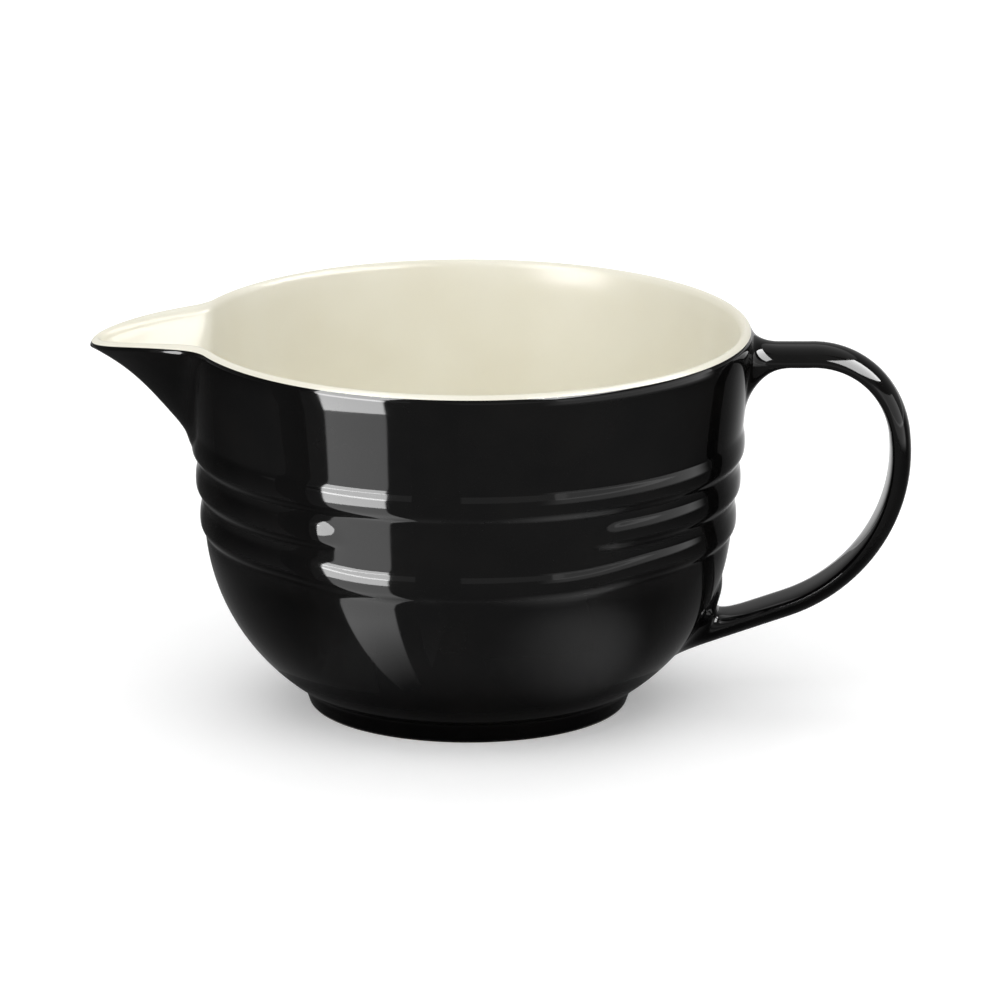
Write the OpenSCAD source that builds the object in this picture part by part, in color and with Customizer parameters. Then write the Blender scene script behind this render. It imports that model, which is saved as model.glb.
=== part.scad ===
// Batter bowl of stoneware with a pouring spout and a loop handle, glazed cream inside and black outside.
// Millimetres, +Z up. The origin is on the bowl's axis, on the table.
// The spout points along -X, the handle along +X, and the bare panel in the middle rib along -Y.

/* [Bowl] */
// Height from the table to the top of the rim
bowl_h = 140; // [135:1:147]
// Outside diameter of the rim
rim_d = 206; // [198:1:214]
// Thickness of the finished wall, both glazes included
wall_t = 5.5; // [4.5:0.1:6.5]
// Outward lean of the straight upper wall, in degrees
wall_lean = 6; // [4:0.5:8]
// Radius of the belly's curve, in section
belly_r = 75; // [71:1:79]
// Angle below level, seen from the middle of the belly's curve, at which the curve leaves the foot
belly_start_angle = 58.3; // [55:0.1:61]
// Thickness of the finished floor
floor_t = 6.5; // [5:0.5:8]
// Radius of the fillet between the floor and the belly, inside
floor_fillet_r = 25; // [18:1:30]

/* [Foot] */
// Height at which the foot meets the belly
foot_h = 7; // [5.5:0.5:8]
// Distance by which the foot draws in from the belly down to the table
foot_in = 2.5; // [1:0.1:4]
// Width of the ring that stands on the table
foot_ring_w = 6; // [4:0.5:9]
// Depth of the recess under the floor
recess_h = 3; // [2:0.5:4]
// Height of the bare clay edge of the foot, below the outer glaze
foot_bare_h = 0.5; // [0.4:0.1:1.5]

/* [Ribs] */
// Height of a rib above the wall
rib_h = 1.8; // [1:0.1:2.2]
// Width of a rib, measured up the wall
rib_w = 11.5; // [9:0.5:13]
// Distance from one rib to the next, measured up the wall
rib_pitch = 14.3; // [13.5:0.1:15]
// Distance from the top of the belly up the wall to the middle of the lowest rib
rib_lift = 7.2; // [6.6:0.1:9]
// Half the angle of the bare panel that parts the middle rib, in degrees
panel_half_angle = 33; // [20:1:45]

/* [Spout] */
// Reach of the spout's tip past the rim
spout_reach = 34; // [28:1:38]
// Radius of the lip's tip, in plan
spout_tip_r = 15; // [13:0.5:17]
// Distance of the lip's tip below the rim
spout_drop = 4.5; // [2:0.5:7]
// Distance up the wall from the groove under the top rib to the start of the spout's keel
keel_lift = 7; // [5:0.5:9]
// Width of the soft valley where the spout runs into the wall
spout_valley_w = 6; // [4:0.5:7]

/* [Handle] */
// Reach of the handle past the rim
handle_reach = 57.5; // [52:0.5:63]
// Width of the handle, across its strap
handle_w = 21; // [17:0.5:25]
// Thickness of the handle at its outer bend
handle_t = 7.6; // [6.5:0.1:9.5]
// Thickness that the handle gains towards its top run
handle_gain = 0.5; // [0:0.1:1.5]
// Distance from the top of the rim down to the top of the handle
handle_drop = 5.7; // [4.7:0.1:8]
// Radius of the handle's upper bend, along its middle
handle_top_r = 34; // [30:1:37]
// Angle above level at which the upper bend runs into the lower one, in degrees
handle_bend_angle = 7; // [0:1:12]
// Rise of the handle's tail from the belly, in degrees
handle_tail_rise = 19; // [14:1:24]
// Place where the tail lands on the belly, as a share of the way from the foot up to the straight wall
handle_root_share = 0.343; // [0.26:0.005:0.42]
// Radius of the fillet under the handle's upper root
root_under_r = 14; // [10:0.5:16]
// Radius of the fillet over the upper root
root_over_r = 3; // [2:0.5:3]
// Radius of the fillet over the lower root
root_tail_r = 5; // [3:0.5:6]
// Radius of the fillets beside both roots
root_side_r = 6; // [4:0.5:8]
// Length over which the tail's end turns to lie on the belly
root_turn_len = 20; // [18:1:24]

/* [Glaze] */
// Thickness of the fired glaze, and of the slip that joins the handle to the bowl
glaze_t = 0.5; // [0.3:0.05:0.7]

/* [Hidden] */
$fn = 144;

black_glaze = [0.03, 0.03, 0.032];
cream_glaze = [0.93, 0.90, 0.79];
bare_clay = [0.80, 0.74, 0.62];
fired_slip = [0.72, 0.65, 0.53];

// Overrun of every cut past the face that it cuts
over = 1;
// Steps along the belly, a rib, the inside fillet, a quarter of the rim's round and the wall over the ribs
belly_steps = 14;
rib_steps = 6;
fillet_steps = 6;
rim_steps = 4;
wall_steps = 4;
// Columns round the spout, sides of the handle's strap and steps along its bends and roots
spout_columns = 30;
strap_sides = 20;
bend_steps = 8;
root_steps = 6;

// Wall: a straight line from the belly up to the middle of the rim's round
rim_r = rim_d / 2;
rim_round_r = wall_t / 2;
rim_mid_z = bowl_h - rim_round_r;
wall_level_t = wall_t / cos(wall_lean);
wall_along = [sin(wall_lean), cos(wall_lean)];
wall_out = [cos(wall_lean), -sin(wall_lean)];
belly_mid_z = foot_h + belly_r * sin(belly_start_angle);
belly_h = belly_mid_z - belly_r * sin(wall_lean);
wall_len = (rim_mid_z - belly_h) / cos(wall_lean);
// Middle of the belly's arc, which the wall touches at belly_h
belly_mid = [rim_r, rim_mid_z] - wall_len * wall_along - belly_r * wall_out;

// A point of the wall in section: a way down from the rim, an inset from the outer face and a rise out of it
function wall_point(down, inset, rise = 0) =
    [rim_r - inset / cos(wall_lean), rim_mid_z] - down * wall_along + rise * wall_out;
// A round stretch of a section
function arc(mid, r, from, to, steps) =
    [for (i = [0:steps]) let (a = from + (to - from) * i / steps) mid + r * [cos(a), sin(a)]];
function reversed(list) = [for (i = [len(list) - 1:-1:0]) list[i]];

// Ribs, numbered up from the belly: a rib's way down the wall, its swell and its points from the foot up
low_rib = 0;
parted_rib = 1;
top_rib = 2;
function rib_down(i) = wall_len - rib_lift - i * rib_pitch;
function rib_rise(off) = rib_h * pow(cos(90 * min(1, abs(off) / (rib_w / 2))), 2);
rib_offs = [for (i = [0:rib_steps]) rib_w / 2 - rib_w * i / rib_steps];
function rib_points(i, inset) = [for (off = rib_offs) wall_point(rib_down(i) + off, inset, rib_rise(off))];

// Foot and belly, outside
function belly_angle(r) = asin((foot_h - belly_mid[1]) / r);
foot_top_r = belly_mid[0] + belly_r * cos(belly_angle(belly_r));
foot_r = foot_top_r - foot_in;
recess_r = foot_r - foot_ring_w;
foot_bare_r = foot_r + (foot_top_r - foot_r) * foot_bare_h / foot_h;
function belly_points(inset) =
    arc(belly_mid, belly_r - inset, belly_angle(belly_r - inset), -wall_lean, belly_steps);

// Floor, fillet and belly, inside
floor_z = recess_h + floor_t;
fillet_rise = belly_mid[1] - floor_z - floor_fillet_r;
fillet_reach = belly_r - wall_t - floor_fillet_r;
fillet_angle = -asin(fillet_rise / fillet_reach);
fillet_mid = belly_mid + fillet_reach * [cos(fillet_angle), sin(fillet_angle)];
function inner_low(inset) = concat(
    [[0, floor_z - wall_t + inset]],
    arc(fillet_mid, floor_fillet_r + wall_t - inset, -90, fillet_angle, fillet_steps),
    arc(belly_mid, belly_r - inset, fillet_angle, -wall_lean, belly_steps)
);

// The spout stands on the groove under the top rib, between two angles that hold its valleys
spout_foot_down = rib_down(top_rib) + rib_pitch / 2;
spout_foot_z = wall_point(spout_foot_down, 0)[1];
spout_half_angle = 28;
spout_h = (spout_foot_down - keel_lift) * cos(wall_lean);
// Rows of the spout: the groove, the top rib and the plain wall up to the middle of the rim
wall_top_down = rib_down(top_rib) - rib_w / 2;
spout_rows = concat(
    [[spout_foot_down, 0]],
    [for (off = rib_offs) [rib_down(top_rib) + off, rib_rise(off)]],
    [for (i = [1:wall_steps]) [wall_top_down * (1 - i / wall_steps), 0]]
);
// Share of the straight keel that the curl of the lip takes away
lip_curl_share = 0.25;
// Angle under which the spout counts as seen along its middle
straight_angle = 0.01;

// Larger of two radii, with a soft valley of a width where they meet
function soft_max(a, b, width) = max(a, b) + pow(max(width - abs(a - b), 0), 2) / (4 * width);
// Radius, from the bowl's axis at an angle, of a parabola with its tip at a reach
function parabola_r(angle, reach, tip_r) =
    abs(angle) < straight_angle ? reach :
    let (k = pow(sin(angle), 2) / tip_r, c = cos(angle)) (sqrt(c * c + 2 * k * reach) - c) / k;
function keel_share(up) = up < 0 ? up : up * (1 - lip_curl_share * (1 - pow(up, 4)));
// Radius of the wall and spout at an angle, where the bare wall has wall_r, up a share of the spout's height
function spout_r(angle, wall_r, up, inset, rise = 0) =
    let (valley = spout_valley_w * min(1, up * spout_h / keel_lift + 1))
    valley <= 0 ? wall_r + rise : soft_max(
        wall_r + rise, parabola_r(angle, wall_r + spout_reach * keel_share(up), spout_tip_r - inset), valley
    );
// Height of the rim's middle, which falls towards the spout's tip, and of a row below it
function lip_mid_z(angle) =
    rim_mid_z - spout_drop * pow((spout_r(angle, rim_r, 1, 0) - rim_r) / spout_reach, 2);
function lip_z(angle, z) = spout_foot_z
    + (z - spout_foot_z) * (lip_mid_z(angle) - spout_foot_z) / (rim_mid_z - spout_foot_z);
// A column of the wall at an angle from the spout, from the groove up to the middle of the rim
function column(angle, inset, ribbed) = [
    for (row = spout_rows)
        let (
            bare = wall_point(row[0], inset),
            p = wall_point(row[0], inset, ribbed ? row[1] : 0),
            up = (spout_foot_down - keel_lift - row[0]) * cos(wall_lean) / spout_h
        )
        [spout_r(angle, bare[0], up, inset, p[0] - bare[0]), lip_z(angle, p[1])]
];
// The rim's round at an angle from the spout, an inset into it, between two angles of its section
function rim_round(angle, inset, from, to) =
    let (
        outer = spout_r(angle, rim_r, 1, 0),
        inner = spout_r(angle, rim_r - wall_level_t, 1, wall_t),
        mid = [(outer + inner) / 2, lip_mid_z(angle)]
    )
    [
        for (i = [1:rim_steps])
            let (a = from + (to - from) * i / rim_steps)
            mid + [((outer - inner) / 2 - inset) * cos(a), (rim_round_r - inset) * sin(a)]
    ];
// Angles of the rim's section: half of its flat crest, and the line between the two glazes
rim_crest_angle = 5;
rim_line_angle = 30;

// The two sides of each layer at an angle from the spout, with as many points on both
function clay_outer(angle) =
    concat(column(angle, glaze_t, true), rim_round(angle, glaze_t, 0, 90 - rim_crest_angle));
function clay_inner(angle) =
    concat(column(angle, wall_t - glaze_t, false), rim_round(angle, glaze_t, 180, 90 + rim_crest_angle));
function outer_coat(angle, inset) =
    concat(column(angle, inset, true), rim_round(angle, inset, 0, rim_line_angle));
function liner_coat(angle, inset) = concat(
    column(angle, wall_t - inset, false),
    rim_round(angle, inset, 180, 90),
    rim_round(angle, inset, 90, rim_line_angle)
);

// A side of the turned wall, which has no edge where the spout's foot cuts it
function above_groove(side) = [for (i = [1:len(side) - 1]) side[i]];

// Handle: the middle of its path, from the upper root round its two bends to the tail
handle_top_t = handle_t + handle_gain;
handle_top_z = bowl_h - handle_drop - handle_top_t / 2;
handle_far_x = rim_r + handle_reach - handle_t / 2;
bend_along = [cos(handle_bend_angle), sin(handle_bend_angle)];
tail_angle = handle_tail_rise - 90;
tail_along = -[cos(handle_tail_rise), sin(handle_tail_rise)];
tail_in = -[cos(tail_angle), sin(tail_angle)];
// The tail's place on the belly, and the radius of the lower bend that runs from the upper one into the tail
belly_foot_angle = -belly_start_angle + handle_root_share * (belly_start_angle - wall_lean);
belly_foot = belly_mid + belly_r * [cos(belly_foot_angle), sin(belly_foot_angle)];
bend_corner = [handle_far_x, handle_top_z - handle_top_r * (1 - bend_along[1])];
handle_tail_r = (bend_corner - belly_foot) * tail_in / (1 + [1, bend_along[1]] * tail_in);
tail_mid = [
    handle_far_x - handle_tail_r,
    handle_top_z - handle_top_r - (handle_tail_r - handle_top_r) * bend_along[1]
];
top_mid = tail_mid + (handle_tail_r - handle_top_r) * bend_along;
root_x = wall_point((rim_mid_z - handle_top_z) / cos(wall_lean), 0)[0];
tail_start = tail_mid - handle_tail_r * tail_in;
tail_len = norm(tail_start - belly_foot);
// Angle between the tail and the belly's face, square on being 0
tail_tilt = handle_tail_rise - belly_foot_angle;
// Spread of a fillet, a way off from the root
function spread(off, r) = off >= r ? 0 : r - sqrt(r * r - pow(r - max(off, 0), 2));
// Depth to which the handle runs into the bowl before it is trimmed
// and the land between its fillets and the wall
root_in = 8;
root_land = 0.5;

// Rings of the strap: middle, angle of its outer side, then outer, inner and side half widths
function upper_ring(off) = [
    [root_x + root_land + off, handle_top_z],
    90 - wall_lean * max(0, 1 - max(off, 0) / root_under_r),
    handle_top_t / 2 + spread(off, root_over_r),
    handle_top_t / 2 + spread(off, root_under_r),
    handle_w / 2 + spread(off, root_side_r)
];
function bend_ring(mid, r, angle) =
    let (half = handle_t / 2 + handle_gain / 2 * max(0, sin(angle)))
    [mid + r * [cos(angle), sin(angle)], angle, half, half, handle_w / 2];
function bend(mid, r, from, to) =
    [for (i = [1:bend_steps]) bend_ring(mid, r, from + (to - from) * i / bend_steps)];
function lower_ring(off) =
    let (tilt = tail_tilt * max(0, 1 - max(off, 0) / root_turn_len))
    [
        tail_start + (tail_len - root_land / cos(tail_tilt) - off) * tail_along,
        tail_angle - tilt,
        handle_t / 2 / cos(tilt),
        (handle_t / 2 + spread(off, root_tail_r)) / cos(tilt),
        handle_w / 2 + spread(off, root_side_r)
    ];
// The roots leave the wall straight, then narrow along their fillets
upper_stub = [upper_ring(-root_in), upper_ring(0)];
lower_stub = [lower_ring(0), lower_ring(-root_in)];
upper_root = [for (i = [1:root_steps]) upper_ring(root_under_r * (1 - cos(90 * i / root_steps)))];
lower_root = [for (i = [0:root_steps - 1]) lower_ring(root_turn_len * pow(1 - i / root_steps, 2))];
handle_rings = concat(
    upper_stub,
    upper_root,
    [bend_ring(top_mid, handle_top_r, 90)],
    bend(top_mid, handle_top_r, 90, handle_bend_angle),
    bend(tail_mid, handle_tail_r, handle_bend_angle, tail_angle),
    lower_root,
    lower_stub
);
// Slip patches: their share of the roots' half widths, and the lower root's middle and slope on the belly
patch_share = 0.6;
patch_half_angle = asin(patch_share * (handle_w / 2 + root_side_r) / rim_r);
tail_foot_slope = cos(belly_foot_angle) / cos(tail_tilt);

function ring_points(ring, inset) = [
    for (i = [0:strap_sides - 1])
        let (
            a = -360 * i / strap_sides,
            off = (sin(a) > 0 ? ring[2] - inset : ring[3] - inset) * sin(a),
            mid = ring[0] + off * [cos(ring[1]), sin(ring[1])]
        )
        [mid[0], (ring[4] - inset) * cos(a), mid[1]]
];

function quad(a, b, c, d) = [[a, b, c], [a, c, d]];

// A solid between two sides that sweep round the spout, column by column
module spout_loft(side_a, side_b) {
    rows = len(side_a[0]);
    columns = len(side_a);
    function at(side, j, i) = (side * columns + j) * rows + i;
    function edge(i) = [
        for (j = [0:columns - 2]) each quad(at(0, j, i), at(0, j + 1, i), at(1, j + 1, i), at(1, j, i))
    ];
    function cap(j) = [
        for (i = [0:rows - 2]) each quad(at(0, j, i), at(1, j, i), at(1, j, i + 1), at(0, j, i + 1))
    ];
    function flipped(faces) = [for (f = faces) reversed(f)];
    polyhedron(
        [for (side = [side_a, side_b], j = [0:columns - 1], p = side[j])
            let (a = 180 + spout_angles[j]) [p[0] * cos(a), p[0] * sin(a), p[1]]],
        concat(
            [for (j = [0:columns - 2], i = [0:rows - 2])
                each quad(at(0, j, i), at(0, j, i + 1), at(0, j + 1, i + 1), at(0, j + 1, i))],
            [for (j = [0:columns - 2], i = [0:rows - 2])
                each quad(at(1, j, i), at(1, j + 1, i), at(1, j + 1, i + 1), at(1, j, i + 1))],
            edge(0), flipped(edge(rows - 1)),
            cap(0), flipped(cap(columns - 1))
        )
    );
}
spout_angles = [for (j = [0:spout_columns]) spout_half_angle * (2 * j / spout_columns - 1)];

// A solid along rings of the strap; with a skin it is a tube open at both ends
module strap(rings, inset, skin = 0) {
    count = len(rings);
    n = strap_sides;
    function at(side, j, i) = (side * count + j) * n + i % n;
    function wall(side) = [
        for (j = [0:count - 2], i = [0:n - 1])
            each quad(at(side, j, i), at(side, j, i + 1), at(side, j + 1, i + 1), at(side, j + 1, i))
    ];
    function lip(j) =
        [for (i = [0:n - 1]) each quad(at(0, j, i), at(1, j, i), at(1, j, i + 1), at(0, j, i + 1))];
    function flipped(faces) = [for (f = faces) reversed(f)];
    polyhedron(
        [for (deep = skin > 0 ? [inset, inset + skin] : [inset], ring = rings) each ring_points(ring, deep)],
        skin > 0
            ? concat(wall(0), flipped(wall(1)), lip(0), flipped(lip(count - 1)))
            : concat(
                wall(0), [[for (i = [n - 1:-1:0]) at(0, 0, i)], [for (i = [0:n - 1]) at(0, count - 1, i)]]
            )
    );
}

// Everything inside the outer face, at an inset from it, but for the middle rib; it may run on below
module envelope(inset, low = 0)
    rotate([0, 0, 180])
    rotate_extrude()
    polygon(concat(
        [[0, foot_bare_h - low]],
        [for (z = low > 0 ? [foot_bare_h - low, foot_bare_h] : [foot_bare_h]) [foot_bare_r - inset, z]],
        belly_points(inset),
        rib_points(low_rib, inset),
        above_groove(column(spout_half_angle, inset, true)),
        rim_round(spout_half_angle, inset, 0, 90),
        [[0, bowl_h - inset]]
    ));

// The middle rib, round all but the bare panel, with rounded ends; its edges run on into the wall
rib_toe_off = rib_w / 2 + rib_w / rib_steps;
rib_toe_rise = -rib_rise(rib_offs[1]);
rib_section = concat(
    [[rib_toe_off, -over], [rib_toe_off, rib_toe_rise]],
    [for (off = rib_offs) [off, rib_rise(off)]],
    [[-rib_toe_off, rib_toe_rise], [-rib_toe_off, -over]]
);
// Share of the section that the rounded ends keep, which holds them inside it
rib_end_share = 0.98;
module middle_rib(inset) {
    turn = 360 - 2 * panel_half_angle;
    rotate([0, 0, panel_half_angle - 90])
        rotate_extrude(angle = turn)
        polygon([for (p = rib_section) wall_point(rib_down(parted_rib) + p[0], inset, p[1])]);
    foot = wall_point(rib_down(parted_rib), inset);
    for (end = [0, 1])
        rotate([0, 0, panel_half_angle - 90 + end * turn])
        translate([foot[0], 0, foot[1]])
        rotate([0, 90 + wall_lean, 0])
        rotate_extrude()
        polygon(rib_end_share * concat([[0, -over]], [for (p = rib_section) if (p[0] >= 0) p]));
}

// The sector that the spout takes out of the bowl
module spout_sector()
    rotate([0, 0, 180 - spout_half_angle])
    rotate_extrude(angle = 2 * spout_half_angle)
    translate([belly_mid[0], spout_foot_z])
    square([rim_r, bowl_h]);

module bowl_body()
    color(bare_clay)
    difference() {
        union() {
            rotate_extrude()
                polygon(concat(
                    [[0, recess_h + glaze_t], [recess_r, recess_h + glaze_t], [recess_r, 0], [foot_r, 0]],
                    [[foot_bare_r, foot_bare_h], [foot_bare_r - glaze_t, foot_bare_h]],
                    belly_points(glaze_t),
                    rib_points(low_rib, glaze_t),
                    above_groove(clay_outer(spout_half_angle)),
                    reversed(above_groove(clay_inner(spout_half_angle))),
                    reversed(inner_low(wall_t - glaze_t))
                ));
            middle_rib(glaze_t);
        }
        spout_sector();
    }

module pouring_spout()
    color(bare_clay)
    spout_loft([for (a = spout_angles) clay_outer(a)], [for (a = spout_angles) clay_inner(a)]);

module handle()
    color(bare_clay)
    difference() {
        strap(handle_rings, glaze_t);
        envelope(0);
    }

// The bare patches of the wall under the two roots, where slip takes the place of the glaze
module root_patch(low_z, high_z)
    rotate([0, 0, -patch_half_angle])
    rotate_extrude(angle = 2 * patch_half_angle)
    translate([belly_mid[0], low_z])
    square([rim_r, high_z - low_z]);
module upper_patch()
    root_patch(
        handle_top_z - patch_share * (handle_top_t / 2 + root_under_r),
        handle_top_z + patch_share * (handle_top_t / 2 + root_over_r)
    );
module lower_patch()
    root_patch(
        belly_foot[1] - patch_share * tail_foot_slope * handle_t / 2,
        belly_foot[1] + patch_share * tail_foot_slope * (handle_t / 2 + root_tail_r)
    );

// The outer coat over the turned wall
module turned_coat()
    rotate([0, 0, 180])
    rotate_extrude()
    polygon(concat(
        [[foot_bare_r, foot_bare_h]],
        belly_points(0), rib_points(low_rib, 0), above_groove(outer_coat(spout_half_angle, 0)),
        reversed(concat(
            [[foot_bare_r - glaze_t, foot_bare_h]],
            belly_points(glaze_t), rib_points(low_rib, glaze_t),
            above_groove(outer_coat(spout_half_angle, glaze_t))
        ))
    ));

// What lies above the line between the two glazes
line_out = rim_round(spout_half_angle, 0, 0, rim_line_angle)[rim_steps - 1];
line_in = rim_round(spout_half_angle, glaze_t, 0, rim_line_angle)[rim_steps - 1];
line_far_out = 2 * line_out - line_in;
line_far_in = 2 * line_in - line_out;
module above_line()
    rotate([0, 0, 180])
    rotate_extrude()
    polygon([
        [0, line_far_in[1]], line_far_in, line_far_out, [line_far_out[0], bowl_h + over], [0, bowl_h + over]
    ]);

module upper_luting_slip()
    color(fired_slip)
    intersection() {
        turned_coat();
        upper_patch();
    }

module lower_luting_slip()
    color(fired_slip)
    intersection() {
        turned_coat();
        lower_patch();
    }

module outer_glaze()
    color(black_glaze)
    difference() {
        union() {
            envelope(0);
            middle_rib(0);
        }
        envelope(glaze_t, over);
        middle_rib(glaze_t);
        above_line();
        spout_sector();
        upper_patch();
        lower_patch();
    }

module spout_outer_glaze()
    color(black_glaze)
    spout_loft([for (a = spout_angles) outer_coat(a, 0)], [for (a = spout_angles) outer_coat(a, glaze_t)]);

module liner_glaze()
    color(cream_glaze)
    difference() {
        rotate_extrude()
            polygon(concat(
                inner_low(wall_t), above_groove(liner_coat(spout_half_angle, 0)),
                reversed(above_groove(liner_coat(spout_half_angle, glaze_t))),
                reversed(inner_low(wall_t - glaze_t))
            ));
        spout_sector();
    }

module spout_liner_glaze()
    color(cream_glaze)
    spout_loft([for (a = spout_angles) liner_coat(a, glaze_t)], [for (a = spout_angles) liner_coat(a, 0)]);

module handle_glaze()
    color(black_glaze)
    difference() {
        strap(handle_rings, 0, glaze_t);
        envelope(0);
    }

module base_glaze()
    color(black_glaze)
    translate([0, 0, recess_h])
    cylinder(r = recess_r, h = glaze_t);

bowl_body();
pouring_spout();
handle();
upper_luting_slip();
lower_luting_slip();
outer_glaze();
spout_outer_glaze();
liner_glaze();
spout_liner_glaze();
handle_glaze();
base_glaze();
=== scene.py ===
import math

import bmesh
import bpy
from mathutils import Matrix, Vector


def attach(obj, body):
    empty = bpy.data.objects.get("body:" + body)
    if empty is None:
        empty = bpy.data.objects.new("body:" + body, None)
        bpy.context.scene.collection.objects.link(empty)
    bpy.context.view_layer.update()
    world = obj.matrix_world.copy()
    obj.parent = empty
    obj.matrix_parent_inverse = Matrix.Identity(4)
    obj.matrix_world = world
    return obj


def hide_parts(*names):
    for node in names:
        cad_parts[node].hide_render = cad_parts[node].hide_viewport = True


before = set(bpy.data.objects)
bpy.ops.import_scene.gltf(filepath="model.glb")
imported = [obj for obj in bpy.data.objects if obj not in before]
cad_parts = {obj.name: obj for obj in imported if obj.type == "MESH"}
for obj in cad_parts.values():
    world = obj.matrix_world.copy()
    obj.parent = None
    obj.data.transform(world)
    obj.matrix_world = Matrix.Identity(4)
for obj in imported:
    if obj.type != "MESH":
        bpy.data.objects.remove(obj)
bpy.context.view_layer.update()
print("frame loaded:", len(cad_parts), "nodes")

# the bowl's lengths are in millimetres, scaled to metres when a mesh is done
metre = 0.001
hair = 1e-4                         # a difference too small to show
merge = 0.002                       # points closer than this are one
sharpFrom = math.radians(50)        # edges that turn more than this stay crisp


# turned bowl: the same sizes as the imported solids
bowl = {
    "height": 140.0,
    "rimRadius": 103.0,
    "wall": 5.5,
    "lean": math.radians(6),
    "bellyRadius": 75.0,
    "bellyStart": math.radians(58.3),
    "floor": 6.5,
    "floorFillet": 25.0,
    "footHeight": 7.0,
    "footIn": 2.5,
    "footRing": 6.0,
    "recess": 3.0,
    "glaze": 0.5,
    "rimLine": math.radians(30),    # where cream meets black on the rim's round
    "footRound": 1.2,               # rounded edge of the foot on the table
    "footCrease": 3.0,              # soft crease where the foot meets the belly
    "bareFrom": math.radians(-62),  # on the foot's round, the glaze stops here
}
lean = bowl["lean"]
rimMidZ = bowl["height"] - bowl["wall"] / 2
levelWall = bowl["wall"] / math.cos(lean)
bellyZ = bowl["footHeight"] + bowl["bellyRadius"] * math.sin(bowl["bellyStart"])
bellyTop = bellyZ - bowl["bellyRadius"] * math.sin(lean)
wallLength = (rimMidZ - bellyTop) / math.cos(lean)
bellyX = bowl["rimRadius"] - wallLength * math.sin(lean) - bowl["bellyRadius"] * math.cos(lean)
footTop = bellyX + bowl["bellyRadius"] * math.cos(bowl["bellyStart"])
footRadius = footTop - bowl["footIn"]
footLie = math.atan2(bowl["footIn"], bowl["footHeight"])
footRoundX = footRadius - bowl["footRound"] / math.tan((math.pi / 2 + footLie) / 2)
recessRadius = footRadius - bowl["footRing"]
floorZ = bowl["recess"] + bowl["floor"]
rimMidX = bowl["rimRadius"] - levelWall / 2

# ribs round the wall: a long slope above, a short lip below; the middle one is parted at the front
ribs = {
    "height": 1.35,
    "above": 7.1,                   # from the crest up to where the rib starts
    "below": 3.3,                   # from the crest down to the foot of its lip
    "crests": (41.3, 54.9, 69.2),   # way down the wall from the rim
    "parted": 1,                    # number of the rib that stops at the panel
    "sagging": 2,                   # number of the rib that hangs lower under the panel
    "sag": 2.5,
    "sagFrom": (math.radians(20), math.radians(45)),
    "groove": 0.22,                 # how softly the glaze fills the grooves
    "end": 9.0,                     # length of the rounded ends at the panel
    "panelHalf": math.radians(33),
    "clear": (1.3, 2.2),            # slopes' lengths from the outer crests to plain wall, above and below
}
ribsDown = ribs["crests"][-1] + ribs["sag"] + ribs["clear"][1] * ribs["below"]

# pouring spout, pulled out of the wall on the -X side
spout = {
    "reach": 34.0,
    "tipRadius": 15.0,
    "drop": 4.5,
    "keelFoot": 28.65,              # way up the wall from the belly to the spout's foot
    "keelLift": 7.0,
    "valley": 6.0,
    "halfAngle": math.radians(28),
    "curl": 0.25,
    "curlPower": 4,
    "headOn": 1e-7,                 # below this the lip's curve is met straight on
}
spoutDown = wallLength - spout["keelFoot"]
spoutFootZ = rimMidZ - spoutDown * math.cos(lean)
spoutHeight = (spoutDown - spout["keelLift"]) * math.cos(lean)


def easeBetween(value, low, high):
    t = min(1, max(0, (value - low) / (high - low)))
    return t * t * (3 - 2 * t)


def wallRise(down, front, radius):
    # how far the ribs lift the wall, at a way down from the rim and an angle from the front
    rise = 0
    for number, crest in enumerate(ribs["crests"]):
        past = 0
        if number == ribs["parted"]:
            past = max(0, (ribs["panelHalf"] - abs(front)) * radius) / ribs["end"]
        if number == ribs["sagging"]:
            crest += ribs["sag"] * (1 - easeBetween(abs(front), *ribs["sagFrom"]))
        off = (down - crest) / (ribs["below"] if down > crest else ribs["above"])
        crown = 1 - off * off - past * past
        rise += ribs["height"] * (crown + math.hypot(crown, ribs["groove"])) / 2
    return rise


def softMax(a, b, width):
    return max(a, b) + max(width - abs(a - b), 0) ** 2 / (4 * width)


def spoutRadius(angle, wallRadius, up, inset, rise=0):
    valley = spout["valley"] * min(1, up * spoutHeight / spout["keelLift"] + 1)
    if valley <= 0 or abs(angle) > spout["halfAngle"] + hair:
        return wallRadius + rise
    share = up if up < 0 else up * (1 - spout["curl"] * (1 - up ** spout["curlPower"]))
    reach = wallRadius + spout["reach"] * share
    k = math.sin(angle) ** 2 / (spout["tipRadius"] - inset)
    c = math.cos(angle)
    nose = reach if k < spout["headOn"] else (math.sqrt(max(0, c * c + 2 * k * reach)) - c) / k
    return softMax(wallRadius + rise, nose, valley)


def lipMidZ(angle):
    out = spoutRadius(angle, bowl["rimRadius"], 1, 0) - bowl["rimRadius"]
    return rimMidZ - spout["drop"] * (out / spout["reach"]) ** 2


def lowered(angle, z):
    return spoutFootZ + (z - spoutFootZ) * (lipMidZ(angle) - spoutFootZ) / (rimMidZ - spoutFootZ)


# drawing a section with a pen: straight strokes and arcs in the XZ plane
def startPen(bm, x, z):
    return bm.verts.new((x, 0, z))


def drawLine(bm, pen, x, z, steps):
    step = (Vector((x, 0, z)) - pen.co) / steps
    for _ in range(steps):
        pen = bmesh.ops.extrude_vert_indiv(bm, verts=[pen])["verts"][0]
        pen.co += step
    return pen


def drawArc(bm, pen, centre, angle, steps):
    spun = bmesh.ops.spin(
        bm, geom=[pen], cent=(centre[0], 0, centre[1]), axis=(0, 1, 0), angle=-angle, steps=steps,
        use_merge=False)
    return next(g for g in spun["geom_last"] if isinstance(g, bmesh.types.BMVert))


def polar(pen, centre):
    return math.atan2(pen.co.z - centre[1], pen.co.x - centre[0])


turning = {"spoutSteps": 76, "bowlSteps": 168}  # columns across the spout and round the rest


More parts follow.
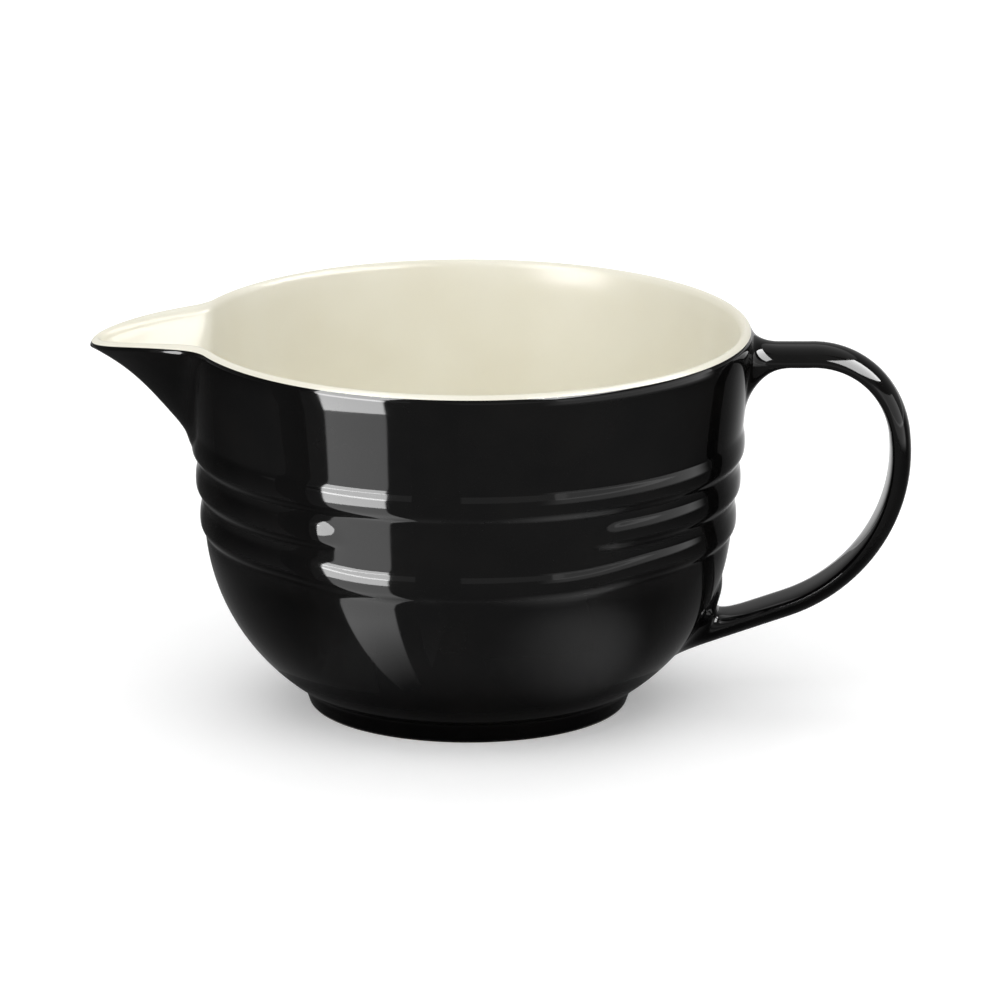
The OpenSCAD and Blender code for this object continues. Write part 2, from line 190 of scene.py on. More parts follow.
def turnSection(bm, verts):
    # one full turn, with closer columns where the spout will be
    section = list(verts) + list({e for v in verts for e in v.link_edges})
    start = math.pi - spout["halfAngle"]
    bmesh.ops.rotate(bm, verts=verts, cent=(0, 0, 0), matrix=Matrix.Rotation(start, 3, "Z"))
    sweep = 2 * spout["halfAngle"]
    spun = bmesh.ops.spin(
        bm, geom=section, cent=(0, 0, 0), axis=(0, 0, 1), angle=sweep, steps=turning["spoutSteps"],
        use_merge=False)
    bmesh.ops.spin(
        bm, geom=spun["geom_last"], cent=(0, 0, 0), axis=(0, 0, 1), angle=2 * math.pi - sweep,
        steps=turning["bowlSteps"], use_merge=False)


rim = {"rollFrom": 131.5, "roll": 0.014}  # where the wall starts to round over to the rim, and how fast


def rimRoll(z):
    return rim["roll"] * max(0, z - rim["rollFrom"]) ** 2


def formWall(verts, inset, skin, outer):
    # the potter's moves on the turned wall: raise the ribs, round the rim and pull the spout
    for v in verts:
        radius, z = v.co.xy.length, v.co.z
        if radius < bellyX:
            continue
        turn = math.atan2(v.co.y, v.co.x)
        angle = math.atan2(v.co.y, -v.co.x)
        front = math.atan2(v.co.x, -v.co.y)
        if z > rimMidZ + hair:
            around = math.atan2(z - rimMidZ, radius - rimMidX)
            outside = spoutRadius(angle, bowl["rimRadius"], 1, 0)
            within = spoutRadius(angle, bowl["rimRadius"] - levelWall, 1, bowl["wall"])
            radius = (outside + within) / 2 + ((outside - within) / 2 - skin) * math.cos(around)
            radius -= rimRoll(z) * math.cos(around)
            z = lipMidZ(angle) + (bowl["wall"] / 2 - skin) * math.sin(around)
        else:
            lie, down = lean, (rimMidZ - z) / math.cos(lean)
            if z < bellyTop:
                lie = math.atan2(bellyZ - z, radius - bellyX)
                down = wallLength + bowl["bellyRadius"] * (lie - lean)
            if down > ribsDown:
                continue
            rise = wallRise(down, front, radius) if outer else 0
            up = (spoutDown - spout["keelLift"] - down) * math.cos(lean) / spoutHeight
            radius -= rimRoll(z) if outer else -rimRoll(z)
            z -= rise * math.sin(lie)
            radius = spoutRadius(angle, radius, up, inset, rise * math.cos(lie))
            if z > spoutFootZ:
                z = lowered(angle, z)
        v.co = (radius * math.cos(turn), radius * math.sin(turn), z)


def outerSection(bm, pen, inset, steps):
    # foot, crease, belly and wall up to the middle of the rim, from a pen on the foot's round
    roundMid = (footRoundX, bowl["footRound"])
    pen = drawArc(bm, pen, roundMid, -footLie - polar(pen, roundMid), steps["round"])
    along = Vector((math.sin(footLie), math.cos(footLie)))
    out = Vector((math.cos(footLie), -math.sin(footLie)))
    belly = Vector((bellyX, bellyZ))
    corner = Vector((footRadius, 0)) + bowl["footCrease"] * out - belly
    b = corner.dot(along)
    way = -b - math.sqrt(b * b - corner.length_squared + (bowl["bellyRadius"] + bowl["footCrease"]) ** 2)
    creaseMid = belly + corner + way * along
    foot = creaseMid - (bowl["footCrease"] + inset) * out
    pen = drawLine(bm, pen, foot.x, foot.y, steps["foot"])
    towards = belly - creaseMid
    turn = math.atan2(towards.y, towards.x) - polar(pen, creaseMid)
    pen = drawArc(bm, pen, creaseMid, (turn + math.pi) % (2 * math.pi) - math.pi, steps["crease"])
    pen = drawArc(bm, pen, belly, -lean - polar(pen, belly), steps["belly"])
    inset = inset / math.cos(lean)
    ribZ = rimMidZ - (ribs["crests"][0] - ribs["clear"][0] * ribs["above"]) * math.cos(lean)
    lift = (ribZ - rimMidZ) * math.tan(lean)
    pen = drawLine(bm, pen, bowl["rimRadius"] - inset + lift, ribZ, steps["ribs"])
    return drawLine(bm, pen, bowl["rimRadius"] - inset, rimMidZ, steps["wall"])


def innerSection(bm, inset, steps):
    # floor, fillet, belly and wall, inside, at an inset from the outer face
    fillet = bowl["floorFillet"]
    reach = bowl["bellyRadius"] - bowl["wall"] - fillet
    angle = -math.asin((bellyZ - floorZ - fillet) / reach)
    mid = (bellyX + reach * math.cos(angle), bellyZ + reach * math.sin(angle))
    low = floorZ - bowl["wall"] + inset
    pen = drawLine(bm, startPen(bm, 0, low), mid[0], low, steps["floor"])
    pen = drawArc(bm, pen, mid, angle - polar(pen, mid), steps["fillet"])
    pen = drawArc(bm, pen, (bellyX, bellyZ), -lean - angle, steps["belly"])
    return drawLine(bm, pen, bowl["rimRadius"] - inset / math.cos(lean), rimMidZ, steps["wall"])


def faceFloor(bm, side):
    # normals agree, and the face at the middle of the floor looks up (1) or down (-1)
    bmesh.ops.recalc_face_normals(bm, faces=bm.faces)
    middle = min(bm.faces, key=lambda f: f.calc_center_median().xy.length)
    if middle.normal.z * side < 0:
        bmesh.ops.reverse_faces(bm, faces=bm.faces)


def finishMesh(bm, name, material, nodes):
    bmesh.ops.scale(bm, vec=(metre, metre, metre), verts=bm.verts)
    for face in bm.faces:
        face.smooth = True
    mesh = bpy.data.meshes.new(name)
    bm.to_mesh(mesh)
    bm.free()
    mesh.set_sharp_from_angle(angle=sharpFrom)
    mesh.materials.append(material)
    piece = bpy.data.objects.new(name, mesh)
    bpy.context.scene.collection.objects.link(piece)
    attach(piece, "root")
    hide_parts(*nodes)
    print("made", name, len(mesh.polygons), "faces")


# materials
def newMaterial(name):
    material = bpy.data.materials.new(name)
    material.use_nodes = True
    nodes, links = material.node_tree.nodes, material.node_tree.links
    return material, nodes, links, nodes["Principled BSDF"]


def noise(nodes, links, coords, scale, detail, rough=0.5):
    node = nodes.new("ShaderNodeTexNoise")
    node.inputs["Scale"].default_value = scale
    node.inputs["Detail"].default_value = detail
    node.inputs["Roughness"].default_value = rough
    links.new(coords, node.inputs["Vector"])
    return node.outputs["Fac"]


def ramp(nodes, links, value, stops):
    node = nodes.new("ShaderNodeValToRGB")
    points = node.color_ramp.elements
    while len(points) < len(stops):
        points.new(0.5)
    for point, (place, colour) in zip(points, stops):
        point.position = place
        point.color = (*colour, 1)
    links.new(value, node.inputs["Fac"])
    return node.outputs["Color"]


def spread(nodes, links, value, low, high):
    node = nodes.new("ShaderNodeMapRange")
    node.inputs["To Min"].default_value = low
    node.inputs["To Max"].default_value = high
    links.new(value, node.inputs["Value"])
    return node.outputs["Result"]


def bumped(nodes, links, bsdf, layers):
    normal = None
    for height, depth in layers:
        node = nodes.new("ShaderNodeBump")
        node.inputs["Strength"].default_value = 1
        node.inputs["Distance"].default_value = depth * metre
        links.new(height, node.inputs["Height"])
        if normal:
            links.new(normal, node.inputs["Normal"])
        normal = node.outputs["Normal"]
    links.new(normal, bsdf.inputs["Normal"])


def objectCoords(nodes):
    return nodes.new("ShaderNodeTexCoord").outputs["Object"]


# each noise is given by its scale and detail, each bump by its depth as well
blackGlaze = {
    "deep": (0.0014, 0.0014, 0.0015), "thin": (0.0030, 0.0028, 0.0027), "stops": (0.35, 0.7),
    "pools": (45, 3),
    "polish": (180, 4), "roughness": (0.035, 0.075),
    "waves": (28, 1), "waveDepth": 0.08,
    "pits": (420, 2), "pitDepth": 0.0015,
    "specular": 0.07,
}
creamGlaze = {
    "deep": (0.79, 0.762, 0.65), "thin": (0.82, 0.797, 0.692), "stops": (0.3, 0.65),
    "pools": (30, 2),
    "polish": (160, 2), "roughness": (0.25, 0.28),
    "waves": (25, 1), "waveDepth": 0.012,
    "pits": (380, 2), "pitDepth": 0.0005,
    "specular": 0.03,
}


def makeGlaze(name, glaze):
    material, nodes, links, bsdf = newMaterial(name)
    coords = objectCoords(nodes)
    pools = noise(nodes, links, coords, *glaze["pools"])
    stops = list(zip(glaze["stops"], (glaze["deep"], glaze["thin"])))
    links.new(ramp(nodes, links, pools, stops), bsdf.inputs["Base Color"])
    polish = noise(nodes, links, coords, *glaze["polish"])
    links.new(spread(nodes, links, polish, *glaze["roughness"]), bsdf.inputs["Roughness"])
    bumped(nodes, links, bsdf, [
        (noise(nodes, links, coords, *glaze["waves"]), glaze["waveDepth"]),
        (noise(nodes, links, coords, *glaze["pits"]), glaze["pitDepth"]),
    ])
    bsdf.inputs["Specular IOR Level"].default_value = glaze["specular"]
    return material


stoneware = {
    "dark": (0.42, 0.34, 0.24), "pale": (0.66, 0.57, 0.43), "stops": (0.3, 0.62),
    "grain": (900, 5, 0.7),         # scale, detail and roughness of the noise
    "grainDepth": 0.06,
    "roughness": 0.85,
}


def makeStoneware():
    material, nodes, links, bsdf = newMaterial("bare_stoneware")
    grain = noise(nodes, links, objectCoords(nodes), *stoneware["grain"])
    stops = list(zip(stoneware["stops"], (stoneware["dark"], stoneware["pale"])))
    links.new(ramp(nodes, links, grain, stops), bsdf.inputs["Base Color"])
    bsdf.inputs["Roughness"].default_value = stoneware["roughness"]
    bumped(nodes, links, bsdf, [(grain, stoneware["grainDepth"])])
    return material


black = makeGlaze("black_glaze", blackGlaze)
cream = makeGlaze("cream_glaze", creamGlaze)
clay = makeStoneware()
print("materials made")


# outside coat of black glaze
outside = {"round": 5, "foot": 5, "crease": 5, "belly": 40, "ribs": 64, "wall": 24, "rim": 5}


def footStart(inset):
    # a point on the foot's round, at an inset, where the glaze stops
    r, start = bowl["footRound"], bowl["bareFrom"]
    reach = r - inset
    return footRoundX + reach * math.cos(start), r + reach * math.sin(start)


def makeOutside():
    bm = bmesh.new()
    pen = outerSection(bm, startPen(bm, *footStart(0)), 0, outside)
    drawArc(bm, pen, (rimMidX, rimMidZ), bowl["rimLine"], outside["rim"])
    turnSection(bm, bm.verts[:])
    bmesh.ops.remove_doubles(bm, verts=bm.verts, dist=merge)
    bmesh.ops.recalc_face_normals(bm, faces=bm.faces)
    formWall(bm.verts, 0, 0, True)
    bm.normal_update()
    bmesh.ops.solidify(bm, geom=bm.faces[:], thickness=bowl["glaze"])
    finishMesh(bm, "outside_glaze", black, ["outer_glaze", "spout_outer_glaze"])


makeOutside()


# inside coat of cream glaze, over the rim
inside = {"floor": 14, "fillet": 14, "belly": 20, "wall": 36, "rim": 18}


def makeInside():
    bm = bmesh.new()
    pen = innerSection(bm, bowl["wall"], inside)
    drawArc(bm, pen, (rimMidX, rimMidZ), bowl["rimLine"] - math.pi, inside["rim"])
    turnSection(bm, bm.verts[:])
    bmesh.ops.remove_doubles(bm, verts=bm.verts, dist=merge)
    faceFloor(bm, 1)
    formWall(bm.verts, bowl["wall"], 0, False)
    bm.normal_update()
    bmesh.ops.solidify(bm, geom=bm.faces[:], thickness=bowl["glaze"])
    finishMesh(bm, "inside_glaze", cream, ["liner_glaze", "spout_liner_glaze"])


makeInside()


# stoneware body under both coats, bare on the foot ring
body = {
    "round": 4, "foot": 4, "crease": 3, "belly": 24, "ribs": 40, "wall": 14, "rim": 6,
    "floor": 8, "fillet": 8, "ring": 4, "under": 10,
    "merge": 0.01,                  # the inner and outer rims meet within this
}


def makeBody():
    bm = bmesh.new()
    glaze, r = bowl["glaze"], bowl["footRound"]
    ceiling = bowl["recess"] + glaze
    pen = drawLine(bm, startPen(bm, 0, ceiling), recessRadius, ceiling, body["under"])
    pen = drawLine(bm, pen, recessRadius, r, body["ring"])
    pen = drawArc(bm, pen, (recessRadius + r, r), math.pi / 2, body["round"])
    pen = drawLine(bm, pen, footRoundX, 0, body["ring"])
    pen = drawArc(bm, pen, (footRoundX, r), bowl["bareFrom"] + math.pi / 2, body["round"])
    pen = drawLine(bm, pen, *footStart(glaze), 1)
    pen = outerSection(bm, pen, glaze, body)
    drawArc(bm, pen, (rimMidX, rimMidZ), math.pi / 2, body["rim"])
    turnSection(bm, bm.verts[:])
    formWall(bm.verts, glaze, glaze, True)
    outer = set(bm.verts)
    pen = innerSection(bm, bowl["wall"] - glaze, body)
    drawArc(bm, pen, (rimMidX, rimMidZ), -math.pi / 2, body["rim"])
    turnSection(bm, [v for v in bm.verts if v not in outer])
    formWall([v for v in bm.verts if v not in outer], bowl["wall"] - glaze, glaze, False)
    bmesh.ops.remove_doubles(bm, verts=bm.verts, dist=body["merge"])
    bmesh.ops.recalc_face_normals(bm, faces=bm.faces)
    finishMesh(bm, "stoneware_body", clay, ["bowl_body", "pouring_spout"])


makeBody()


# glaze in the recess under the floor
base = {"fillet": 1.2, "steps": 6, "rings": 12}


def makeBase():
    bm = bmesh.new()
    mid = (recessRadius - base["fillet"], bowl["recess"] - base["fillet"])
    pen = drawLine(bm, startPen(bm, 0, bowl["recess"]), mid[0], bowl["recess"], base["rings"])
    drawArc(bm, pen, mid, -math.pi / 2, base["steps"])
    turnSection(bm, bm.verts[:])
    bmesh.ops.remove_doubles(bm, verts=bm.verts, dist=merge)
    faceFloor(bm, -1)
    bmesh.ops.solidify(bm, geom=bm.faces[:], thickness=bowl["glaze"])
    finishMesh(bm, "base_coat", black, ["base_glaze"])


makeBase()


# loop handle: a strap with a domed back and a flatter palm side, flaring into the wall at both roots
handle = {
    "reach": 57.5,
    "width": 21.0,
    "thick": 7.6,
    "gain": 0.5,
    "drop": 6.0,
    "topRadius": 34.0,
    "bend": math.radians(7),
    "tailRise": math.radians(19),
    "rootShare": 0.343,
    "under": (14.0, 17.0),          # fillets at the roots: reach along the handle, then spread
    "over": (10.0, 5.0),
    "tailOver": (26.0, 16.0),
    "tailSwell": (36.0, 1.5),
    "palm": (-0.08, 0.35, 0.4),     # extra on the palm side, at the top, at the bend and along the tail
    "back": (-0.12, -0.35),         # extra on the domed back, as far as the bend and along the tail
    "crown": 2.2,                   # the section is widest this far towards the palm
    "square": 2.7,                  # how square the palm side is; 2 is a plain oval
    "bulge": 2.0,                   # the top bend stands out of its circle
    "side": (8.0, 6.0),
    "tailSide": (11.0, 8.0),
    "turnLength": 20.0,
    "sunk": 0.6,
    "sides": 56,
    "rootRings": 18,
    "straightRings": 4,
    "bendRings": 28,
    "tailRings": 6,
    "tailEase": math.radians(50),   # the tail's section is reached this far past the bend
}
probe = {"tries": 12, "step": 0.01, "leastSlope": -0.05}  # how the way to the wall is felt out


def outerGap(p):
    # distance of a point outside the bowl's outer face, without its ribs
    radius = math.hypot(p.x, p.y)
    if p.z > bellyTop:
        curve = math.sqrt(1 - min(1, max(0, (p.z - rimMidZ) / (bowl["wall"] / 2))) ** 2)
        wall = bowl["rimRadius"] - levelWall / 2 * (1 - curve) - rimRoll(p.z) * curve
        wall -= max(0, rimMidZ - p.z) * math.tan(lean)
        return (radius - wall) * math.cos(lean)
    return math.hypot(radius - bellyX, p.z - bellyZ) - bowl["bellyRadius"]


def toWall(p, along):
    # way from a point to the bowl's face along a direction
    way = 0
    for _ in range(probe["tries"]):
        q = p + way * along
        near = outerGap(q)
        slope = (outerGap(q + probe["step"] * along) - near) / probe["step"]
        way -= near / min(slope, probe["leastSlope"])
    return way


def flare(off, reach, spreadBy):
    if off >= reach:
        return 0
    return spreadBy * (1 - math.sqrt(1 - (1 - max(off, 0) / reach) ** 2))


def addRing(bm, mid, tilt, outer, inner, half, off=None, along=None, reach=1):
    made = bmesh.ops.create_circle(bm, segments=handle["sides"], radius=1)["verts"]
    out = Vector((math.cos(tilt), 0, math.sin(tilt)))
    crown, power = handle["crown"], 2 / handle["square"]
    for v in made:
        across, lift = v.co.x, v.co.y
        if lift > 0:
            lift *= outer + crown
        else:
            across, lift = (math.copysign(abs(c) ** power, c) for c in (across, lift))
            lift *= inner - crown
        p = Vector((mid[0], half * across, mid[1])) + (lift - crown) * out
        if along is not None:
            share = max(0, 1 - max(off, 0) / reach) ** 2
            p += along * (toWall(p, along) - off) * share
        v.co = p
    return list({e for v in made for e in v.link_edges})


def handleRings(bm):
    topThick = handle["thick"] + handle["gain"]
    topZ = bowl["height"] - handle["drop"] - topThick / 2
    farX = bowl["rimRadius"] + handle["reach"] - handle["thick"] / 2
    rootX = bowl["rimRadius"] - (rimMidZ - topZ) * math.tan(lean)
    bend, rise, topR = handle["bend"], handle["tailRise"], handle["topRadius"]
    tailOut = Vector((math.sin(rise), -math.cos(rise)))
    tailAlong = Vector((-math.cos(rise), -math.sin(rise)))
    footAngle = -bowl["bellyStart"] + handle["rootShare"] * (bowl["bellyStart"] - lean)
    footOut = Vector((math.cos(footAngle), math.sin(footAngle)))
    foot = Vector((bellyX, bellyZ)) + bowl["bellyRadius"] * footOut
    corner = Vector((farX, topZ - topR * (1 - math.sin(bend))))
    tailR = (foot - corner).dot(tailOut) / (1 - Vector((1, math.sin(bend))).dot(tailOut))
    tailMid = Vector((farX - tailR, topZ - topR - (tailR - topR) * math.sin(bend)))
    topMid = tailMid + (tailR - topR) * Vector((math.cos(bend), math.sin(bend)))
    tailStart = tailMid + tailR * tailOut
    tailLength = (tailStart - foot).length
    rings, n = [], handle["rootRings"]
    palmTop, palmBend, palmTail = handle["palm"]
    backTop, backTail = handle["back"]
    topOuter, topInner = topThick / 2 + backTop, topThick / 2 + palmTop

    reach = handle["under"][0]
    offs = [-handle["sunk"]] + [reach * (1 - math.cos(math.pi / 2 * i / n)) for i in range(n + 1)]
    for off in offs:
        rings.append(addRing(
            bm, (rootX + off, topZ), math.pi / 2, topOuter + flare(off, *handle["over"]),
            topInner + flare(off, *handle["under"]), handle["width"] / 2 + flare(off, *handle["side"]),
            off, Vector((-1, 0, 0)), reach))
    straight = topMid.x - rootX - reach
    for i in range(1, handle["straightRings"] + 1):
        x = rootX + reach + straight * i / handle["straightRings"]
        rings.append(addRing(bm, (x, topZ), math.pi / 2, topOuter, topInner, handle["width"] / 2))
    arcs = ((topMid, topR, math.pi / 2, bend), (tailMid, tailR, bend, rise - math.pi / 2))
    for mid, r, start, end in arcs:
        for i in range(1, handle["bendRings"] + 1):
            a = start + (end - start) * i / handle["bendRings"]
            high, low = max(0, math.sin(a)), easeBetween(-a, 0, handle["tailEase"])
            thick = handle["thick"] / 2 + handle["gain"] / 2 * high
            palm = palmBend + (palmTop - palmBend) * high + (palmTail - palmBend) * low
            back = backTop + (backTail - backTop) * low
            stand = r + handle["bulge"] * high * high * math.cos(a)
            at = mid + stand * Vector((math.cos(a), math.sin(a)))
            rings.append(addRing(bm, at, a, thick + back, thick + palm, handle["width"] / 2))
    along = Vector((tailAlong.x, 0, tailAlong.y))
    tailTilt = rise - footAngle

    def tailInner(off):
        fillet = flare(off, *handle["tailOver"]) + flare(off, *handle["tailSwell"])
        return handle["thick"] / 2 + palmTail + fillet

    plain = (tailLength - handle["turnLength"]) / handle["tailRings"]
    for i in range(1, handle["tailRings"]):
        at = tailStart + plain * i * tailAlong
        rings.append(addRing(
            bm, at, rise - math.pi / 2, handle["thick"] / 2 + backTail, tailInner(tailLength - plain * i),
            handle["width"] / 2))
    offs = [handle["turnLength"] * (1 - i / n) ** 2 for i in range(n + 1)] + [-handle["sunk"]]
    for off in offs:
        tilt = tailTilt * max(0, 1 - max(off, 0) / handle["turnLength"])
        at = tailStart + (tailLength - off) * tailAlong
        rings.append(addRing(
            bm, at, rise - math.pi / 2 - tilt, (handle["thick"] / 2 + backTail) / math.cos(tilt),
            tailInner(off) / math.cos(tilt),
            handle["width"] / 2 + flare(off, *handle["tailSide"]), off, along, handle["turnLength"]))
    return rings


def makeHandle():
    bm = bmesh.new()
    rings = handleRings(bm)
    for first, second in zip(rings, rings[1:]):
        bmesh.ops.bridge_loops(bm, edges=first + second)
    for end in (rings[0], rings[-1]):
        bmesh.ops.edgeloop_fill(bm, edges=end)
    bmesh.ops.recalc_face_normals(bm, faces=bm.faces)
    finishMesh(
        bm, "loop_handle", black,
        ["handle", "handle_glaze", "upper_luting_slip", "lower_luting_slip"])


makeHandle()


# camera at the photograph's angle, for a square image
camera = {
    "target": Vector((11.5, 0, 74.73)), "elevation": math.radians(15.30), "distance": 3200.0,
    "lens": 317.66, "sensor": 36.0, "roll": 0.0017,
}


def makeCamera():
    data = bpy.data.cameras.new("camera")
    data.lens, data.sensor_width = camera["lens"], camera["sensor"]
    eye = bpy.data.objects.new("camera", data)
    tilt = camera["elevation"]
    back = Vector((0, -math.cos(tilt), math.sin(tilt)))
    eye.location = (camera["target"] + back * camera["distance"]) * metre
    aim = (-back).to_track_quat("-Z", "Y").to_matrix()
    eye.rotation_euler = (aim @ Matrix.Rotation(camera["roll"], 3, "Z")).to_euler()
    bpy.context.scene.collection.objects.link(eye)
    bpy.context.scene.camera = eye


makeCamera()


# studio, in metres: pale floor, soft world and two broad key lights
studio = {
    "floorColour": (0.96, 0.96, 0.96),
    "floorRough": 0.9,
    "floorGlow": 0.22,              # what the paper keeps of its white in the deepest shadow
    "floorHalf": 30.0,
    "world": 0.46,
    "aim": (0, 0, 0.1),             # what the softboxes point at
}
keys = {
    "backKey": {"from": (0.05, 0.9, 1.5), "angle": math.radians(60), "strength": 0.8},
    "frontKey": {"from": (-0.10, -1.0, 0.75), "angle": math.radians(110), "strength": 1.85},
}

# these softboxes show in reflections only, so the light on the object stays plain
softboxes = {
    "leftBox": {"at": (-0.813, -0.745, 0.862), "size": (0.72, 1.62), "power": 280},
    "rightBox": {"at": (0.991, -0.322, 1.179), "size": (1.9, 0.75), "power": 340},
    "leftLow": {"at": (-1.85, -1.75, 0.30), "size": (1.3, 0.64), "power": 200},
    "rightLow": {"at": (2.6, -0.75, 0.50), "size": (4.4, 1.1), "power": 70},
    "frontBox": {"at": (0.0, -6.0, 1.05), "size": (10.5, 2.1), "power": 76},
}

# patches of light on the table and dark cards at both sides, also for reflections only, with painted
# shade:
# the bowl's shadow on the table near it and round its foot, painted as dim patches; a patch fades along
# its radius, and between the angles of its edges
leftWedge = {
    "centre": (-0.010, -0.064), "height": 0.003, "start": -152, "sweep": 29, "edges": (0, 1, 28, 29)}
wholeTurn = {"start": 0, "sweep": 360, "edges": None}
leftSide = {"centre": (0.0, 0.0), "start": 90, "sweep": 150, "near": 0.075}
rightSide = {"centre": (0.0, 0.0), "start": -48, "sweep": 138, "near": 0.075}
card = {"height": 0.002, "far": 3.0, "fade": (0.075, 0.10)}
# painted shade: dim patches on the table near the bowl, standing for its shadow there in reflections
nearShadePatch = {"height": 0.0025, "far": 0.25, "fade": (0.25, 0.16), "strength": 0.2}
tableLights = {
    "leftPatch": {**leftWedge, "near": 0.02, "far": 0.345, "fade": (0.02, 0.10), "strength": 13.5},
    "leftBack": {**leftWedge, "near": 0.345, "far": 20.0, "fade": (0.2, 0.3), "strength": 78.0},
    "rightPatch": {
        **wholeTurn, "centre": (0.080, -0.108), "height": 0.003,
        "near": 0.0, "far": 0.07, "fade": (0.07, 0.0), "strength": 3.0},
    "rightBack": {
        "centre": (0.0, -0.06), "height": 0.003, "start": -62, "sweep": 88, "edges": (0, 14, 76, 88),
        "near": 0.55, "far": 20.0, "fade": (0.55, 0.75), "strength": 4.8},
    "leftCard": {**leftSide, **card, "edges": (0, 40, 60, 150), "strength": 0.08},
    # painted shade of the bowl on the table at the left, seen only in reflections
    "leftNearShade": {**leftSide, **nearShadePatch, "edges": (0, 40, 118, 150)},
    "rightCard": {**rightSide, **card, "edges": (0, 70, 75, 138), "strength": 0.11},
    # painted shade of the bowl on the table at the right, seen only in reflections
    "rightNearShade": {**rightSide, **nearShadePatch, "edges": (0, 30, 75, 138)},
    # painted contact shadow: a dim ring round the foot that darkens the table in reflections
    "footShadowPatch": {
        **wholeTurn, "centre": (0.0, 0.0), "height": 0.001,
        "near": 0.05, "far": 0.11, "fade": (0.11, 0.065), "strength": 0.06},
}
patchMesh = {"rings": 10, "columns": 36, "merge": 1e-5}

# standing paper screens that keep the left patch out of the reflections seen from the side and the back
screens = {
    "backScreen": {"from": (-0.105, -0.10), "to": (-0.45, -0.10), "height": 0.16, "strength": 0.45},
    "sideScreen": {"from": (-0.02, -0.099), "to": (-0.02, -0.45), "height": 0.16, "strength": 1.15},
}


def stageMesh(bm, name, material):
    mesh = bpy.data.meshes.new(name)
    bm.to_mesh(mesh)
    bm.free()
    mesh.materials.append(material)
    item = bpy.data.objects.new(name, mesh)
    bpy.context.scene.collection.objects.link(item)
    return item


def reflectedOnly(item):
    item.visible_camera = item.visible_diffuse = item.visible_shadow = False


def eased(nodes, links, value, low, high):
    node = nodes.new("ShaderNodeMapRange")
    node.interpolation_type = "SMOOTHSTEP"
    node.inputs["From Min"].default_value, node.inputs["From Max"].default_value = low, high
    links.new(value, node.inputs["Value"])
    return node.outputs["Result"]


def reckon(nodes, links, operation, *values):
    node = nodes.new("ShaderNodeMath")
    node.operation = operation
    for value, socket in zip(values, node.inputs):
        links.new(value, socket)
    return node.outputs["Value"]


def makeFloor():
    bm = bmesh.new()
    bmesh.ops.create_grid(bm, x_segments=1, y_segments=1, size=studio["floorHalf"])
    material, nodes, links, bsdf = newMaterial("floor_paper")
    bsdf.inputs["Base Color"].default_value = (*studio["floorColour"], 1)
    bsdf.inputs["Roughness"].default_value = studio["floorRough"]
    bsdf.inputs["Specular IOR Level"].default_value = 0.0
    glow = nodes.new("ShaderNodeEmission")
    both = nodes.new("ShaderNodeAddShader")
    path = nodes.new("ShaderNodeLightPath")
    seen = path.outputs["Is Camera Ray"]
    for ray in ("Is Glossy Ray", "Is Transmission Ray"):
        seen = reckon(nodes, links, "MAXIMUM", seen, path.outputs[ray])
    links.new(spread(nodes, links, seen, 0, studio["floorGlow"]), glow.inputs["Strength"])
    links.new(bsdf.outputs["BSDF"], both.inputs[0])
    links.new(glow.outputs["Emission"], both.inputs[1])
    links.new(both.outputs["Shader"], nodes["Material Output"].inputs["Surface"])
    stageMesh(bm, "floor", material)


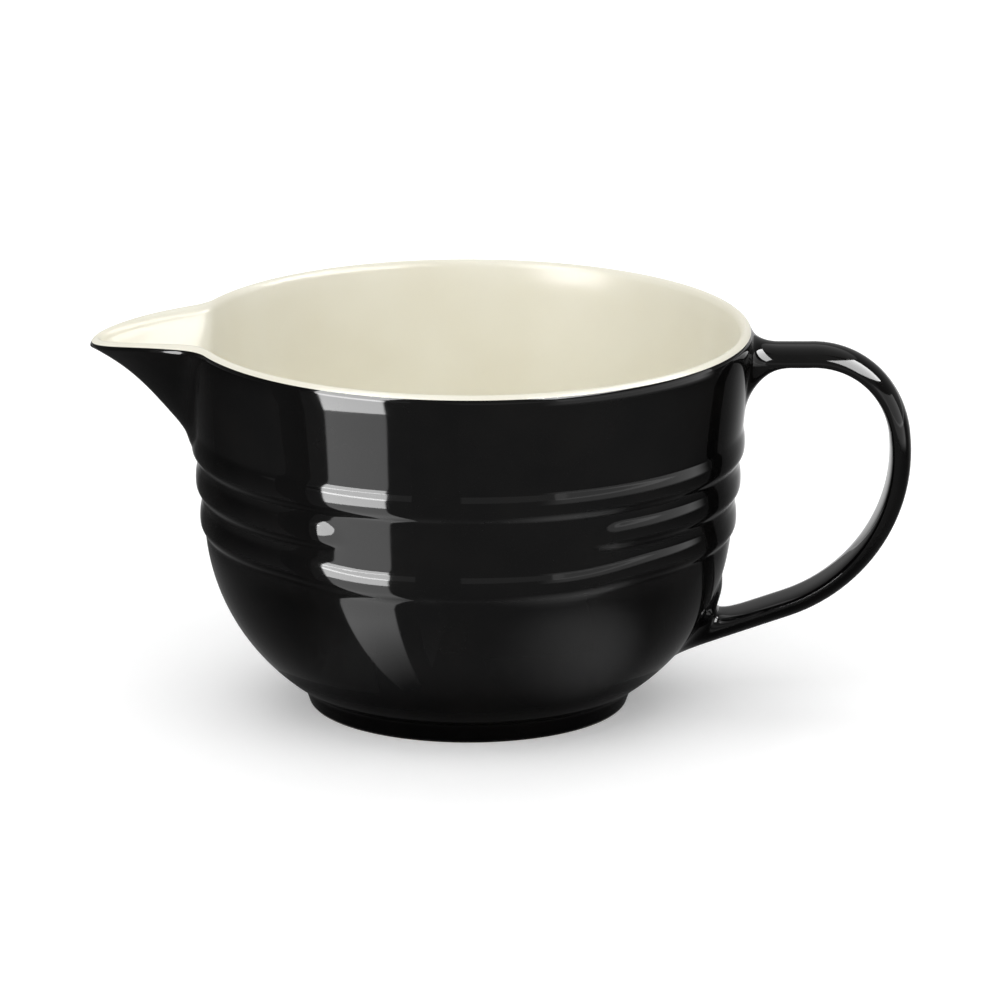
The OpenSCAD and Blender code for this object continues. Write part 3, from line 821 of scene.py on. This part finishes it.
def makeTableLight(name, patch):
    start, sweep, height = math.radians(patch["start"]), math.radians(patch["sweep"]), patch["height"]
    bm = bmesh.new()
    drawLine(bm, startPen(bm, patch["near"], height), patch["far"], height, patchMesh["rings"])
    bmesh.ops.rotate(bm, verts=bm.verts, cent=(0, 0, 0), matrix=Matrix.Rotation(start, 3, "Z"))
    bmesh.ops.spin(
        bm, geom=bm.verts[:] + bm.edges[:], cent=(0, 0, 0), axis=(0, 0, 1), angle=sweep,
        steps=patchMesh["columns"], use_merge=False)
    bmesh.ops.remove_doubles(bm, verts=bm.verts, dist=patchMesh["merge"])
    centre = Vector((*patch["centre"], 0))
    bmesh.ops.translate(bm, verts=bm.verts, vec=centre)
    material, nodes, links, _ = newMaterial(name)
    place = nodes.new("ShaderNodeMapping")
    place.inputs["Rotation"].default_value = (0, 0, -start)
    place.inputs["Location"].default_value = Matrix.Rotation(-start, 3, "Z") @ -centre
    links.new(objectCoords(nodes), place.inputs["Vector"])
    flat = nodes.new("ShaderNodeSeparateXYZ")
    links.new(place.outputs["Vector"], flat.inputs["Vector"])
    away = nodes.new("ShaderNodeVectorMath")
    away.operation = "LENGTH"
    links.new(place.outputs["Vector"], away.inputs[0])
    share = eased(nodes, links, away.outputs["Value"], *patch["fade"])
    if patch["edges"]:
        angle = reckon(nodes, links, "ARCTAN2", flat.outputs["Y"], flat.outputs["X"])
        inFrom, inTo, outFrom, outTo = (math.radians(a) for a in patch["edges"])
        share = reckon(nodes, links, "MULTIPLY", share, eased(nodes, links, angle, inFrom, inTo))
        share = reckon(nodes, links, "MULTIPLY", share, eased(nodes, links, angle, outTo, outFrom))
    glow = nodes.new("ShaderNodeEmission")
    glow.inputs["Strength"].default_value = patch["strength"]
    clear = nodes.new("ShaderNodeBsdfTransparent")
    mix = nodes.new("ShaderNodeMixShader")
    links.new(share, mix.inputs["Fac"])
    links.new(clear.outputs["BSDF"], mix.inputs[1])
    links.new(glow.outputs["Emission"], mix.inputs[2])
    links.new(mix.outputs["Shader"], nodes["Material Output"].inputs["Surface"])
    reflectedOnly(stageMesh(bm, name, material))


def makeScreen(name, screen):
    start, end = (Vector((*screen[place], 0)) for place in ("from", "to"))
    bm = bmesh.new()
    drawLine(bm, startPen(bm, 0, 0), 0, screen["height"], 1)
    bmesh.ops.translate(bm, verts=bm.verts, vec=start)
    swept = bmesh.ops.extrude_edge_only(bm, edges=bm.edges[:])["geom"]
    bmesh.ops.translate(bm, verts=[g for g in swept if isinstance(g, bmesh.types.BMVert)], vec=end - start)
    material, nodes, links, _ = newMaterial(name)
    glow = nodes.new("ShaderNodeEmission")
    glow.inputs["Strength"].default_value = screen["strength"]
    links.new(glow.outputs["Emission"], nodes["Material Output"].inputs["Surface"])
    reflectedOnly(stageMesh(bm, name, material))


def makeLights():
    world = bpy.data.worlds.new("studio")
    bpy.context.scene.world = world
    world.use_nodes = True
    sky = world.node_tree.nodes["Background"]
    sky.inputs["Color"].default_value = (1, 1, 1, 1)
    sky.inputs["Strength"].default_value = studio["world"]

    for name, key in keys.items():
        sun = bpy.data.lights.new(name, "SUN")
        sun.energy, sun.angle = key["strength"], key["angle"]
        item = bpy.data.objects.new(name, sun)
        item.location = key["from"]
        item.rotation_euler = (-Vector(key["from"])).to_track_quat("-Z", "Y").to_euler()
        bpy.context.scene.collection.objects.link(item)

    for name, box in softboxes.items():
        lamp = bpy.data.lights.new(name, "AREA")
        lamp.shape = "RECTANGLE"
        lamp.size, lamp.size_y = box["size"]
        lamp.energy = box["power"]
        item = bpy.data.objects.new(name, lamp)
        item.location = box["at"]
        aim = Vector(studio["aim"]) - Vector(box["at"])
        item.rotation_euler = aim.to_track_quat("-Z", "Y").to_euler()
        item.visible_diffuse = False
        bpy.context.scene.collection.objects.link(item)


def makeStudio():
    makeFloor()
    for name, patch in tableLights.items():
        makeTableLight(name, patch)
    for name, screen in screens.items():
        makeScreen(name, screen)
    makeLights()


makeStudio()
bpy.context.scene.view_settings.view_transform = "Standard"
print("studio ready")
